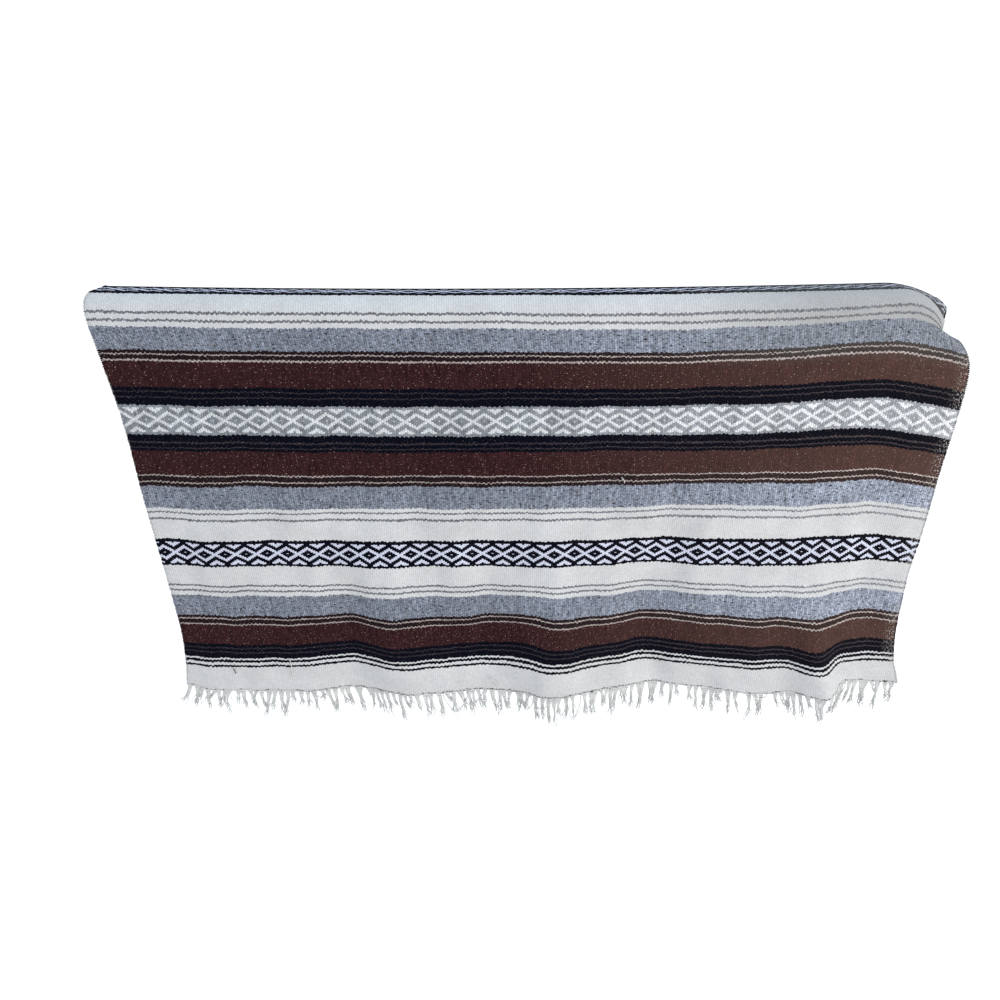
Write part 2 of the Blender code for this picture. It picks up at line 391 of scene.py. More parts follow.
def web_runs(step):
    """List the web's rows from the back hem to the front one, finest over the rail's bends."""
    shoulder = 0.175               # the run down to which the rows stay closer together
    crest_step, bend_step, shoulder_step = step * 0.6, step * 0.4, step * 0.7
    half = evenly(FLAT_HALF, FLAT_HALF + BEND_RUN, round(BEND_RUN / bend_step))
    half += evenly(half[-1], shoulder, round((shoulder - half[-1]) / shoulder_step))[1:]
    half += evenly(shoulder, WEB_HALF, round((WEB_HALF - shoulder) / step))[1:]
    flat = evenly(-FLAT_HALF, FLAT_HALF, round(2 * FLAT_HALF / crest_step))[1:-1]
    return [-run for run in reversed(half)] + flat + half


# Settings

def length_setting(name, description, default, **limits):
    """Make a property that holds a length."""
    return FloatProperty(name=name, description=description, default=default, unit="LENGTH",
                         **limits)


def colour_setting(name, description, *default):
    """Make a property that holds a colour."""
    return FloatVectorProperty(name=name, description=description, default=default,
                               subtype="COLOR")


class WebSettings(bpy.types.PropertyGroup):
    """Sizes of the woven web."""

    columns: IntProperty(name="Columns", description="Mesh columns across the web",
                         default=172, min=20)
    row_step: length_setting("Row step", "Mesh row spacing down the panels", 0.0076, min=0.002)
    wall: length_setting("Wall", "Thickness of the cloth", 0.0026, min=0.0005)
    turn_pitch: length_setting("Turn pitch", "Spacing of the weft turns at a selvage", 0.0030,
                               min=0.001)
    turn_reach: length_setting("Turn reach", "How far a weft turn stands out", 0.0016, min=0.0002)


class FringeSettings(bpy.types.PropertyGroup):
    """Sizes of the two fringes."""

    pitch: length_setting("Tassel pitch", "Mean spacing of the tassels", 0.0112, min=0.004)
    shortest: length_setting("Shortest", "Shortest tassel", 0.044, min=0.005)
    longest: length_setting("Longest", "Longest tassel", 0.069, min=0.005, max=FRINGE_REACH)
    yarn: length_setting("Yarn radius", "Radius of one yarn of a tassel", 0.00088, min=0.0002)
    seed: IntProperty(name="Seed", description="Order of the tassels", default=7)


class ColourSettings(bpy.types.PropertyGroup):
    """Yarn and wood colours."""

    white: colour_setting("White", "Undyed weft", 0.504, 0.507, 0.512)
    figure_white: colour_setting("Figure white", "White of the figured bands", 0.499, 0.520, 0.619)
    figure_pale: colour_setting("Figure pale", "Pale yarn of the middle band", 0.561, 0.575, 0.589)
    melange: colour_setting("Grey melange", "Recycled grey weft", 0.202, 0.222, 0.271)
    line_grey: colour_setting("Line grey", "Fine lines in the white", 0.176, 0.181, 0.202)
    figure_grey: colour_setting("Figure grey", "Grey of the middle figured band",
                                0.230, 0.247, 0.271)
    brown: colour_setting("Brown", "Wide brown stripes", 0.0344, 0.0120, 0.0138)
    dark_brown: colour_setting("Dark brown", "Stripe beside the grey", 0.0155, 0.0082, 0.0103)
    tan: colour_setting("Tan", "Fine lines beside the brown", 0.350, 0.305, 0.290)
    black: colour_setting("Blue black", "Blackest weft", 0.0022, 0.0027, 0.0070)
    plum: colour_setting("Plum", "Fine lines in the black", 0.0292, 0.0241, 0.0310)
    fringe: colour_setting("Fringe", "Undyed warp ends", 0.68, 0.685, 0.675)
    stitch: colour_setting("Stitch", "Dark yarn along the hem", 0.03, 0.03, 0.036)
    pine: colour_setting("Pine", "Early wood of the rail", 0.58, 0.41, 0.24)
    pine_ring: colour_setting("Pine rings", "Late wood of the rail", 0.40, 0.23, 0.11)


class StageSettings(bpy.types.PropertyGroup):
    """Studio, light and camera."""

    floor_drop: length_setting("Floor drop", "Floor below the rail's underside", 1.60)
    floor: colour_setting("Floor", "Paper on the floor", 0.98, 0.98, 0.98)
    glow: FloatProperty(name="Floor glow", description="Light through the paper floor",
                        default=0.10)
    sky: FloatProperty(name="Room light", description="Strength of the even light", default=1.08)
    key: FloatProperty(name="Right light", description="Power of the soft light on the right",
                       default=58.0, unit="POWER")
    top: FloatProperty(name="Top light", description="Power of the cool light above",
                       default=22.0, unit="POWER")
    camera: FloatVectorProperty(name="Camera", description="Where the camera stands",
                                default=(-0.057, -1.150, 0.2595), subtype="TRANSLATION",
                                unit="LENGTH")
    tilt: FloatProperty(name="Tilt", description="How far the camera looks down",
                        default=math.radians(25.15), subtype="ANGLE")
    lens: FloatProperty(name="Lens", description="Focal length in millimetres", default=27.144)


class SerapeSettings(bpy.types.PropertyGroup):
    """All the settings of this scene."""

    web: PointerProperty(type=WebSettings)
    fringe: PointerProperty(type=FringeSettings)
    colours: PointerProperty(type=ColourSettings)
    stage: PointerProperty(type=StageSettings)


# Shader building

class Signal:
    """A value on its way through a node tree, so that sums of signals are written as sums."""

    def __init__(self, wire, socket):
        self.wire = wire
        self.socket = socket

    def __add__(self, other):
        return self.wire.math("ADD", self, other)

    def __sub__(self, other):
        return self.wire.math("SUBTRACT", self, other)

    def __mul__(self, other):
        return self.wire.math("MULTIPLY", self, other)

    def __truediv__(self, other):
        return self.wire.math("DIVIDE", self, other)

    def __mod__(self, other):
        return self.wire.math("MODULO", self, other)

    def __pow__(self, other):
        return self.wire.math("POWER", self, other)

    def __gt__(self, other):
        return self.wire.math("GREATER_THAN", self, other)

    def __lt__(self, other):
        return self.wire.math("LESS_THAN", self, other)

    def __abs__(self):
        return self.wire.math("ABSOLUTE", self)


class Wiring:
    """Adds nodes to one node tree and joins them."""

    def __init__(self, tree):
        self.tree = tree

    def node(self, kind, **settings):
        made = self.tree.nodes.new(kind)
        for key, value in settings.items():
            setattr(made, key, value)
        return made

    def feed(self, socket, value):
        if isinstance(value, Signal):
            self.tree.links.new(value.socket, socket)
        else:
            socket.default_value = value

    def through(self, made, values, output=0):
        """Feed a node's inputs, listed under their numbers or names, and return one output."""
        for key, value in values.items():
            self.feed(made.inputs[key], value)
        return Signal(self, made.outputs[output])

    def math(self, operation, *values):
        made = self.node("ShaderNodeMath", operation=operation)
        return self.through(made, dict(enumerate(values)))

    def spread(self, value, low, high, to_low=0.0, to_high=1.0):
        made = self.node("ShaderNodeMapRange", clamp=True)
        return self.through(made, dict(enumerate((value, low, high, to_low, to_high))))

    def vector(self, x, y, z=0.0):
        return self.through(self.node("ShaderNodeCombineXYZ"), {0: x, 1: y, 2: z})

    def source(self, kind, output=0, **settings):
        """Add a node that needs no inputs and return one of its outputs."""
        return Signal(self, self.node(kind, **settings).outputs[output])

    def parts(self, place):
        """Split a place into its three coordinates."""
        made = self.node("ShaderNodeSeparateXYZ")
        self.feed(made.inputs[0], place)
        return [Signal(self, socket) for socket in made.outputs]

    def noise(self, vector, scale, detail=2.0, roughness=0.5):
        made = self.node("ShaderNodeTexNoise", noise_dimensions="3D")
        return self.through(made, {"Vector": vector, "Scale": scale, "Detail": detail,
                                   "Roughness": roughness})

    def dice(self, vector):
        made = self.node("ShaderNodeTexWhiteNoise", noise_dimensions="3D")
        return self.through(made, {"Vector": vector})

    def mix(self, share, first, second, blend="MIX"):
        made = self.node("ShaderNodeMix", data_type="RGBA", blend_type=blend)
        first, second = ((*value, 1.0) if isinstance(value, tuple) else value
                         for value in (first, second))
        return self.through(made, {0: share, 6: first, 7: second}, 2)

    def blend(self, share, first, second):
        made = self.node("ShaderNodeMix", data_type="FLOAT")
        return self.through(made, {0: share, 2: first, 3: second})

    def toned(self, colour, tone):
        """Make a colour lighter or darker."""
        return self.mix(1.0, colour, self.vector(tone, tone, tone), "MULTIPLY")

    def bump(self, height, distance, strength):
        made = self.node("ShaderNodeBump")
        return self.through(made, {"Strength": strength, "Distance": distance, "Height": height})

    def bands(self, position, stops):
        """Add a stepped ramp from (start, colour, alpha) stops: its colour and its alpha."""
        made = self.node("ShaderNodeValToRGB")
        ramp = made.color_ramp
        ramp.interpolation = "CONSTANT"
        while len(ramp.elements) < len(stops):
            ramp.elements.new(1.0)
        for element, (start, colour, alpha) in zip(ramp.elements, stops):
            element.position = start
            element.color = (*colour, alpha)
        return self.through(made, {0: position}), Signal(self, made.outputs[1])

    def group(self, tree, **values):
        """Add a node group and return its outputs by name."""
        made = self.node("ShaderNodeGroup", node_tree=tree)
        for key, value in values.items():
            self.feed(made.inputs[key], value)
        return {socket.name: Signal(self, socket) for socket in made.outputs}


def new_group(name, inputs, outputs):
    """Start a shader node group and return its tree, its wiring and its inner ends."""
    tree = bpy.data.node_groups.new(name, "ShaderNodeTree")
    for label in inputs:
        tree.interface.new_socket(label, in_out="INPUT", socket_type="NodeSocketFloat")
    for label in outputs:
        kind = "NodeSocketColor" if label == "Colour" else "NodeSocketFloat"
        tree.interface.new_socket(label, in_out="OUTPUT", socket_type=kind)
    wire = Wiring(tree)
    start = wire.node("NodeGroupInput").outputs
    end = wire.node("NodeGroupOutput").inputs
    return tree, wire, [Signal(wire, start[label]) for label in inputs], end


def stripe_group(colours):
    """Make the group that gives the weft's colour anywhere on the web.

    Fleck says how many odd fibres the yarn there carries, from 0 to 1.
    """
    tree, wire, (place, run), out = new_group(
        "serape stripes", ("Place", "Run"), ("Colour", "Fleck"))

    # Weft never lies dead straight: it bows slowly, is beaten unevenly, and steps rib by rib
    column = wire.math("FLOOR", place / RIB)
    bow = wire.noise(wire.vector(place, run), 9.0, 1.0) - 0.5
    beat = wire.noise(wire.vector(place, run * 0.4), 230.0, 2.0) - 0.5
    level = abs(run) + bow * SLOW_BOW + beat * FIGURE_BEAT
    bent = level + (column % 2.0 - 0.5) * RIB_STEP + beat * STRIPE_BEAT

    yarns = {
        "white": (tuple(colours.white), 0.06),
        "line": (tuple(colours.line_grey), 0.62),
        "melange": (tuple(colours.melange), 1.0),
        "dark": (tuple(colours.dark_brown), 0.3),
        "tan": (tuple(colours.tan), 0.40),
        "brown": (tuple(colours.brown), 0.5),
        "black": (tuple(colours.black), 0.1),
        "plum": (tuple(colours.plum), 0.3),
        "figure_grey": (tuple(colours.figure_grey), 0.48),
        "figure_pale": (tuple(colours.figure_pale), 0.25),
        "figure_white": (tuple(colours.figure_white), 0.08),
    }

    def striped(stripes, start):
        """Lay one table's stripes, the first of them from the pick where the table starts."""
        whole = picks_in(stripes)
        stops = [(picks_in(stripes[:index]) / whole, *yarns[stripe.yarn])
                 for index, stripe in enumerate(stripes)]
        return wire.bands(wire.spread(bent, start * PICK, (start + whole) * PICK), stops)

    colour, fleck = striped(TO_GREY, 0)
    for stripes, before in ((TO_DARK, TO_GREY), (TO_HEM, TO_GREY + TO_DARK)):
        past = bent > picks_in(before) * PICK
        further, further_fleck = striped(stripes, picks_in(before))
        colour = wire.mix(past, colour, further)
        fleck = wire.blend(past, fleck, further_fleck)

    # Figured bands: nested diamonds, counted in ribs and rows from each diamond's middle
    rings = []
    for raised in RINGS:
        rings.append((max(raised.first - NEAR, 0.0) / RING_LIMIT, (1.0, 1.0, 1.0), 1.0))
        rings.append(((raised.last + NEAR) / RING_LIMIT, (0.0, 0.0, 0.0), 1.0))
    for band in BANDS:
        row = wire.math("ROUND", (level - band.middle * PICK) / PICK) * (PICK / ROW)
        turn = (column + (1.5 * DIAMOND_RIBS - band.aside)) % DIAMOND_RIBS
        rib = abs(turn - DIAMOND_RIBS / 2)
        ring = abs(row) + rib
        raised, _ = wire.bands(ring / RING_LIMIT, rings)
        raised = raised * (row > band.first_row - NEAR) * (row < band.last_row + NEAR)
        raised = raised * wire.math("MAXIMUM", rib > HEART_RIB, ring < HEART_RING)
        ground, ground_fleck = yarns[band.ground]
        figure, figure_fleck = yarns[band.raised]
        edge = bent - band.middle * PICK
        inside = (edge > -band.above * PICK) * (edge < band.below * PICK)
        colour = wire.mix(inside, colour, wire.mix(raised, ground, figure))
        fleck = wire.blend(inside, fleck, wire.blend(raised, ground_fleck, figure_fleck))
    wire.feed(out["Colour"], colour)
    wire.feed(out["Fleck"], fleck)
    return tree


def weave_group():
    """Make the group for weft-faced plain weave: beads of weft in upright ribs."""
    tree, wire, (place, run), out = new_group(
        "weft faced weave", ("Place", "Run"), ("Height", "Shade", "Chance"))
    sway = wire.noise(wire.vector(place, run), 160.0, 2.0)
    lint = wire.noise(wire.vector(place, run), 900.0, 3.0)
    ribs = place / RIB
    column = wire.math("FLOOR", ribs)
    rows = run / ROW + column * 0.5 + sway * 1.1
    across, along = (abs(wire.math("SINE", turns * math.pi)) ** BEAD_POWER
                     for turns in (ribs, rows))
    chance = wire.dice(wire.vector(column, wire.math("FLOOR", rows)))
    beads = across * along * (chance * 0.35 + 0.8)
    wire.feed(out["Height"], lint * 0.35 + beads)
    wire.feed(out["Shade"], beads)
    wire.feed(out["Chance"], chance)
    return tree


def spun_group():
    """Make the group for a spun, twisted yarn, from its own around and along coordinates."""
    tree, wire, (around, along, twist), out = new_group(
        "spun yarn", ("Around", "Along", "Twist"), ("Height", "Shade"))
    turns = around * 2.0 + along / twist
    plies = abs(wire.math("SINE", turns * math.pi))
    fibres = wire.noise(wire.vector(turns * 3.0, along * 300.0), 1.4, 3.0)
    patch = wire.noise(wire.vector(around, along * 60.0), 1.0, 2.0)
    wire.feed(out["Height"], fibres * 0.5 + plies)
    wire.feed(out["Shade"], plies * 0.35 + patch * 0.6)
    return tree


def grain_group():
    """Make the group for sawn softwood that runs along X."""
    tree, wire, (x, y, z), out = new_group("pine grain", ("X", "Y", "Z"), ("Rings", "Fibres"))
    wander = wire.noise(wire.vector(x * 1.6, y, z), 3.0, 2.0) * 0.05
    high = z + PITH_DROP + wander
    deep = (y + wander) * 0.8
    radius = wire.math("SQRT", high * high + deep * deep)
    wire.feed(out["Rings"], wire.math("FRACT", radius / YEAR_RING) ** 3.0)
    wire.feed(out["Fibres"], wire.noise(wire.vector(x * 12.0, y * 420.0, z * 420.0), 1.0, 3.0))
    return tree


def new_material(name):
    """Make a node material and return it with its wiring and its shader's inputs."""
    material = bpy.data.materials.new(name)
    material.use_nodes = True
    wire = Wiring(material.node_tree)
    shader = material.node_tree.nodes["Principled BSDF"].inputs
    shader["Metallic"].default_value = 0.0
    shader["Specular IOR Level"].default_value = 0.0
    return material, wire, shader


def yarn_coordinates(wire):
    """Return the two coordinates of the mesh's own map."""
    return wire.parts(wire.source("ShaderNodeUVMap", uv_map="yarn"))[:2]


def woven_material(colours, stripes, weave):
    """Make the cloth's own material."""
    material, wire, shader = new_material("woven stripes")
    place, run = yarn_coordinates(wire)
    striped = wire.group(stripes, Place=place, Run=run)
    woven = wire.group(weave, Place=place, Run=run)
    fleck, shade = striped["Fleck"], woven["Shade"]

    def fibres(stretch, layer, scale, thin, thick):
        """Scatter short fibres, longest along the weft."""
        spot = wire.vector(place * stretch, run, layer)
        return wire.spread(wire.noise(spot, scale, 2.0, 0.6), thin, thick)

    # Each bead of weft a little lighter or darker, more so in the mixed yarns
    mixed = wire.spread(fleck, 0.06, 0.50)
    tone = (woven["Chance"] - 0.5) * (fleck * 0.50 + 0.06) + 1.0
    cloud = wire.noise(wire.vector(place, run), 14.0, 3.0, 0.6)
    tone = tone * (cloud * 0.38 + 0.82)
    # Painted shade in the grooves between the beads, deepest in the mixed yarns
    groove_shade = wire.spread(mixed, 0.0, 1.0, 0.80, 0.48)
    tone = tone * wire.spread(shade, 0.0, 0.9, groove_shade, 1.06)

    # Ribs differ in tone over short lengths, and painted light from the right pales and warms the
    # mixed yarns there
    rib = wire.math("FLOOR", place / RIB)
    streak = (wire.noise(wire.vector(rib * 3.7, run * 45.0), 1.0, 2.0) - 0.5) * mixed
    right_light = wire.spread(place, 0.55, WEB_WIDTH, 0.0, 0.62) * mixed
    tone = tone * (streak * 1.6 + 1.0) * (right_light + 1.0)
    # Painted warm light: the mixed yarns tinted warmer towards the right
    right_warmth = wire.spread(place, 0.60, WEB_WIDTH, 0.0, 0.17) * mixed
    right_warmth = right_warmth * wire.spread(fleck, 0.5, 0.7, 1.0, 0.0)
    colour = wire.mix(right_warmth, wire.toned(striped["Colour"], tone), RIGHT_LIGHT_TINT)

    # Painted shade: the fold over the rail is greyed darker near its right end
    crest_shade = wire.spread(place, 0.80, 1.04) * wire.spread(abs(run), 0.105, 0.145, 1.0, 0.0)
    colour = wire.mix(crest_shade * wire.spread(cloud, 0.3, 0.6, 0.32, 0.48), colour, CREST_SHADE_TINT)

    # Odd fibres: dark and pale blue ones in the grey, a few tan ones in the brown
    grey = wire.spread(fleck, 0.55, 1.0)
    colour = wire.mix(fibres(0.6, 0.0, 310.0, 0.588, 0.635) * (grey * 0.95), colour, SOOT)
    blue = wire.spread(wire.noise(wire.vector(place, run, 9.0), 90.0, 1.0), 0.4, 0.6)
    pale = wire.mix(blue, PALE_FIBRE, BLUE_FIBRE)
    colour = wire.mix(fibres(0.7, 4.0, 400.0, 0.60, 0.68) * (grey * 0.55), colour, pale)
    often = wire.spread(fleck, 0.05, 0.45, 0.12, 0.85)
    colour = wire.mix(fibres(0.6, 7.0, 520.0, 0.650, 0.70) * often, colour, TAN_FIBRE)

    # Warp shows through along the right selvage
    edge = wire.spread(place, WEB_WIDTH - 0.022, WEB_WIDTH - 0.003)
    bare = wire.noise(wire.vector(place, run * 0.6, 2.0), 420.0, 2.0, 0.6)
    colour = wire.mix(edge * wire.spread(bare, 0.54, 0.62, 0.0, 0.7), colour, BARE_WARP)
    wire.feed(shader["Base Color"], colour)
    wire.feed(shader["Roughness"], wire.spread(shade, 0.0, 1.0, 1.0, 0.90))
    height = woven["Height"] * wire.spread(mixed, 0.0, 1.0, 0.45, 1.0)
    wire.feed(shader["Normal"], wire.bump(height, 0.0011, 0.75))
    shader["Sheen Weight"].default_value = 0.01
    shader["Sheen Roughness"].default_value = 0.6
    return material


def turn_material(stripes, spun):
    """Make the material of the weft turns, coloured by the stripe that each one belongs to."""
    material, wire, shader = new_material("selvage weft")
    place, run = yarn_coordinates(wire)
    striped = wire.group(stripes, Place=place, Run=run)
    yarn = wire.group(spun, Around=place * 400.0, Along=run, Twist=0.002)
    warp = wire.spread(wire.noise(wire.vector(place, run), 340.0, 2.0), 0.56, 0.66, 0.0, 0.7)
    # Painted shade between the plies, with patchy tone
    colour = wire.toned(striped["Colour"], yarn["Shade"] * 0.5 + 0.72)
    wire.feed(shader["Base Color"], wire.mix(warp, colour, TURN_WARP))
    wire.feed(shader["Normal"], wire.bump(yarn["Height"], 0.0004, 0.6))
    shader["Roughness"].default_value = 0.95
    return material


def yarn_material(name, colour, spun, twist, deep):
    """Make the material of a plain twisted yarn, with painted shade between its plies and patchy
    tone.
    """
    material, wire, shader = new_material(name)
    around, along = yarn_coordinates(wire)
    yarn = wire.group(spun, Around=around, Along=along, Twist=twist)
    # Painted shade: darker between the plies, down to the share deep of the colour
    shade = wire.spread(yarn["Shade"], 0.15, 0.75)
    low = tuple(part * deep for part in colour)
    wire.feed(shader["Base Color"], wire.mix(shade, low, tuple(colour)))
    wire.feed(shader["Roughness"], wire.spread(shade, 0.0, 1.0, 1.0, 0.85))
    wire.feed(shader["Normal"], wire.bump(yarn["Height"], 0.0005, 0.7))
    shader["Sheen Weight"].default_value = 0.03
    shader["Sheen Roughness"].default_value = 0.5
    return material


def pine_material(colours, grain):
    """Make the rail's planed and worn pine."""
    material, wire, shader = new_material("planed pine")
    x, y, z = wire.parts(wire.source("ShaderNodeNewGeometry", "Position"))
    wood = wire.group(grain, X=x, Y=y, Z=z)
    colour = wire.mix(wood["Rings"], tuple(colours.pine), tuple(colours.pine_ring))
    colour = wire.toned(colour, wire.spread(wood["Fibres"], 0.3, 0.7, 0.80, 1.06))
    wire.feed(shader["Base Color"], colour)
    wire.feed(shader["Roughness"], wire.spread(wood["Rings"], 0.0, 1.0, 0.62, 0.48))
    height = wood["Rings"] * 0.5 + wood["Fibres"]
    wire.feed(shader["Normal"], wire.bump(height, 0.0004, 0.5))
    shader["Specular IOR Level"].default_value = 0.35
    return material


# Mesh building

SELVAGE_THIN = 0.45            # the web's wall at its selvages, as a share of the whole wall
HEM_THIN = 0.55
MARGIN = 0.004                 # around each side of the web in the baking map


class YarnMesh:
    """Gathers many yarns into one mesh, with a map of around and along for their finish."""

    def __init__(self):
        self.points = []
        self.faces = []
        self.maps = []

    def tube(self, path, radii, sides=6, around=None, along=None):
        """Add a round yarn through these points, closed at both ends."""
        first = len(self.points)
        steps = len(path)
        tangents = [(path[min(i + 1, steps - 1)] - path[max(i - 1, 0)]).normalized()
                    for i in range(steps)]
        across = tangents[0].orthogonal().normalized()
        travelled = 0.0
        places = []
        for index, (point, tangent, radius) in enumerate(zip(path, tangents, radii)):
            across = (across - tangent * across.dot(tangent)).normalized()
            third = tangent.cross(across)
            for side in range(sides):
                angle = math.tau * side / sides
                out = across * math.cos(angle) + third * math.sin(angle)
                self.points.append(point + out * radius)
            if index:
                travelled += (point - path[index - 1]).length
            places.append(travelled if along is None else along)
        for ring in range(steps - 1):
            for side in range(sides):
                following = (side + 1) % sides
                low = first + ring * sides
                high = low + sides
                self.faces.append((low + side, low + following, high + following, high + side))
                spans = (side, side + 1, side + 1, side)
                for span, level in zip(spans, (ring, ring, ring + 1, ring + 1)):
                    turned = span / sides if around is None else around
                    self.maps.append((turned, places[level]))
        for ring, order in ((0, -1), (steps - 1, 1)):
            corners = [first + ring * sides + side for side in range(sides)][::order]
            self.faces.append(tuple(corners))
            for side in range(sides):
                turned = side / sides if around is None else around
                self.maps.append((turned, places[ring]))

    def finish(self, name, material):
        """Make the object."""
        return mesh_object(name, self.points, self.faces, {"yarn": self.maps}, material)


def mesh_object(name, points, faces, maps, material):
    """Make a smooth mesh object with named maps, one pair of numbers for each face corner."""
    mesh = bpy.data.meshes.new(name)
    mesh.from_pydata([tuple(point) for point in points], [], faces)
    for label, pairs in maps.items():
        layer = mesh.uv_layers.new(name=label)
        layer.data.foreach_set("uv", np.asarray(pairs, np.float32).ravel())
    mesh.shade_smooth()
    mesh.materials.append(material)
    made = bpy.data.objects.new(name, mesh)
    bpy.context.scene.collection.objects.link(made)
    return made


def lay_web(settings):
    """Work out the web's grid: its places, its runs, the middle of its wall, its normals."""
    places = web_places(settings.columns)
    runs = web_runs(settings.row_step)
    kept = [[take_up(place, run) for place in places] for run in runs]
    middle = np.array([[drape(place, run) for place, run in zip(places, row)] for row in kept])
    normals = np.cross(np.gradient(middle, axis=1), np.gradient(middle, axis=0))
    normals /= np.linalg.norm(normals, axis=2, keepdims=True)
    if normals[len(runs) // 2, len(places) // 2, 2] < 0:
        normals = -normals
    return places, kept, middle, normals


def web_mesh(settings, material):
    """Build the web as one closed wall, each side of it laid flat in the baking map."""
    places, runs, middle, normals = lay_web(settings)
    rows, columns = middle.shape[:2]
    half = np.full((rows, columns, 1), settings.wall / 2)
    half[:, (0, -1)] *= SELVAGE_THIN
    half[(0, -1), :] *= HEM_THIN
    outer = (middle + normals * half).reshape(-1, 3)
    inner = (middle - normals * half).reshape(-1, 3)
    count = rows * columns
    metres = np.array([[(place, run) for place, run in zip(places, row)] for row in runs])
    metres = metres.reshape(-1, 2)
    woven = np.array([(place, woven_run(place, run)) for place, run in metres])
    flat = np.empty_like(metres)
    flat[:, 0] = MARGIN + (0.5 - 2 * MARGIN) * metres[:, 0] / WEB_WIDTH
    flat[:, 1] = MARGIN + (1 - 2 * MARGIN) * (metres[:, 1] + WEB_HALF) / (2 * WEB_HALF)

    faces, yarn, bake = [], [], []

    def add(corners, shift):
        faces.append(tuple(corners))
        for corner in corners:
            spot = corner % count
            yarn.append(woven[spot])
            bake.append(flat[spot] + shift[corner >= count])

    still, moved = np.zeros(2), np.array((0.5, 0.0))
    for row in range(rows - 1):
        for column in range(columns - 1):
            corner = row * columns + column
            quad = (corner, corner + columns, corner + columns + 1, corner + 1)
            add(quad, (still, moved))
            add([spot + count for spot in reversed(quad)], (still, moved))
    rim = MARGIN / 2
    for row in range(rows - 1):
        for column, outward in ((0, -rim), (columns - 1, rim)):
            upper = row * columns + column
            lower = upper + columns
            quad = [upper, upper + count, lower + count, lower]
            add(quad if outward < 0 else quad[::-1], (still, np.array((outward, 0.0))))
    for column in range(columns - 1):
        for row, outward in ((0, -rim), (rows - 1, rim)):
            left = row * columns + column
            right = left + 1
            quad = [left, right, right + count, left + count]
            add(quad if outward < 0 else quad[::-1], (still, np.array((0.0, outward))))
    maps = {"yarn": yarn, "OFBake": bake}
    return mesh_object("serape_web", np.concatenate((outer, inner)), faces, maps, material)


def shared(name, make, *needs):
    """Return the node group of this name, which is made when it is first asked for."""
    return bpy.data.node_groups.get(name) or make(*needs)


def stripes(context):
    return shared("serape stripes", stripe_group, context.scene.serape.colours)


def spun():
    return shared("spun yarn", spun_group)


# Operators

class SERAPE_OT_web(bpy.types.Operator):
    """Weave and hang the striped web"""

    bl_idname = "serape.web"
    bl_label = "Web"

    def execute(self, context):
        settings = context.scene.serape
        material = woven_material(settings.colours, stripes(context), weave_group())
        web = web_mesh(settings.web, material)
        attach(web, "root")
        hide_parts("serape_cloth")
        return {"FINISHED"}


class SERAPE_OT_selvages(bpy.types.Operator):
    """Turn the weft back at both selvages"""

    bl_idname = "serape.selvages"
    bl_label = "Selvages"

    SWEEP = math.pi * 1.15         # how far round the edge one turn goes
    SUNK = 0.6 * MM                # how far its ends lie inside the edge

    def execute(self, context):
        settings = context.scene.serape.web
        material = turn_material(stripes(context), spun())
        for name, place, outward in (("selvage_left", 0.0, -1), ("selvage_right", WEB_WIDTH, 1)):
            chance = random.Random(name)
            turns = YarnMesh()
            for index in range(round(2 * WEB_HALF / settings.turn_pitch) - 2):
                run = -WEB_HALF + (index + 1.5) * settings.turn_pitch
                self.add_turn(turns, settings, chance, place, take_up(place, run), outward)
            piece = turns.finish(name, material)
            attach(piece, "root")
        return {"FINISHED"}

    def add_turn(self, turns, settings, chance, place, run, outward):
        """Add one weft turn: out of one face of the wall, round the edge, into the other."""
        edge = drape(place, run)
        along = (drape(place, run + MM) - edge).normalized()
        inward = (drape(place - outward * RIB, run) - edge).normalized()
        face = inward.cross(along).normalized()
        reach = settings.turn_reach * chance.uniform(0.7, 1.35)
        lean = chance.uniform(-0.35, 0.35) * settings.turn_pitch
        path = []
        for step in evenly(-0.5, 0.5, 6):
            angle = step * self.SWEEP
            out = math.cos(angle) * reach - self.SUNK
            path.append(edge - inward * out + face * math.sin(angle) * settings.wall * 0.52
                        + along * lean * step * 2)
        width = settings.turn_pitch * 0.36
        turns.tube(path, [width * 0.7] + [width] * 5 + [width * 0.7], 5, around=place,
                   along=woven_run(place, run))


